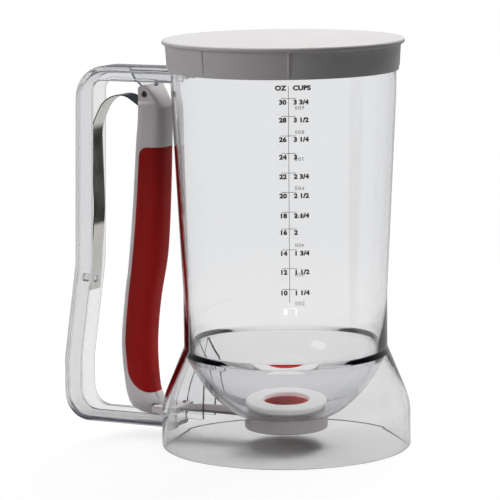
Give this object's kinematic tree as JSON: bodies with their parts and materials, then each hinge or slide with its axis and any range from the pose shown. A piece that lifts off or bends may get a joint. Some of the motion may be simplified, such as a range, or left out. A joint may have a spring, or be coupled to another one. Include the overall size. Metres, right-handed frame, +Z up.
{
  "type": "batter dispenser",
  "caption": "Clear batter jug on a flared base with a lift-off lid, a channel handle and a sprung squeeze lever that draws a slide valve back under the bowl.",
  "frame": {"origin": "centre of the base rim's resting face, on the table", "axes": "+Z up the jug's axis, the handle and lever along -X, the valve draws towards -X, +Y completes a right-handed frame"},
  "size_m": [0.1722, 0.116, 0.1897],
  "materials": {
    "clear_wall": "clear, polished moulding",
    "white_plastic": "satin moulding",
    "red_grip": "soft matt overmould",
    "red_silicone": "matt silicone",
    "spring_steel": "cold rolled strip"
  },
  "bodies": {
    "root": {"container": "clear_wall", "base_skirt": "clear_wall", "handle_frame": "clear_wall", "seat_ring": "white_plastic", "seat_gasket": "red_silicone", "valve_cap": "white_plastic", "pivot_pin": "spring_steel", "leaf_spring": "spring_steel"},
    "lever": {"lever_body": "white_plastic", "lever_grip": "red_grip"},
    "slider": {"slide_arm": "white_plastic", "gate_pad": "red_silicone"},
    "lid": {"lid": "white_plastic"}
  },
  "joints": [
    {"name": "lever_pivot", "type": "hinge", "parent": "root", "child": "lever", "pos_m": [-0.0697, 0, 0.1619], "axis": [0, 1, 0], "range_deg": [0, 8.5], "stiffness_Nm_per_rad": 2, "springref_deg": -2.86, "deforming": ["leaf_spring"]},
    {"name": "valve_slide", "type": "slide", "parent": "root", "child": "slider", "axis": [-1, 0, 0], "range_m": [0, 0.0221]},
    {"name": "lid_lift", "type": "slide", "parent": "root", "child": "lid", "axis": [0, 0, 1], "range_m": [0, 0.05]}
  ],
  "couplings": [
    {"joint": "valve_slide", "follows": "lever_pivot", "m_per_rad": 0.1486}
  ]
}
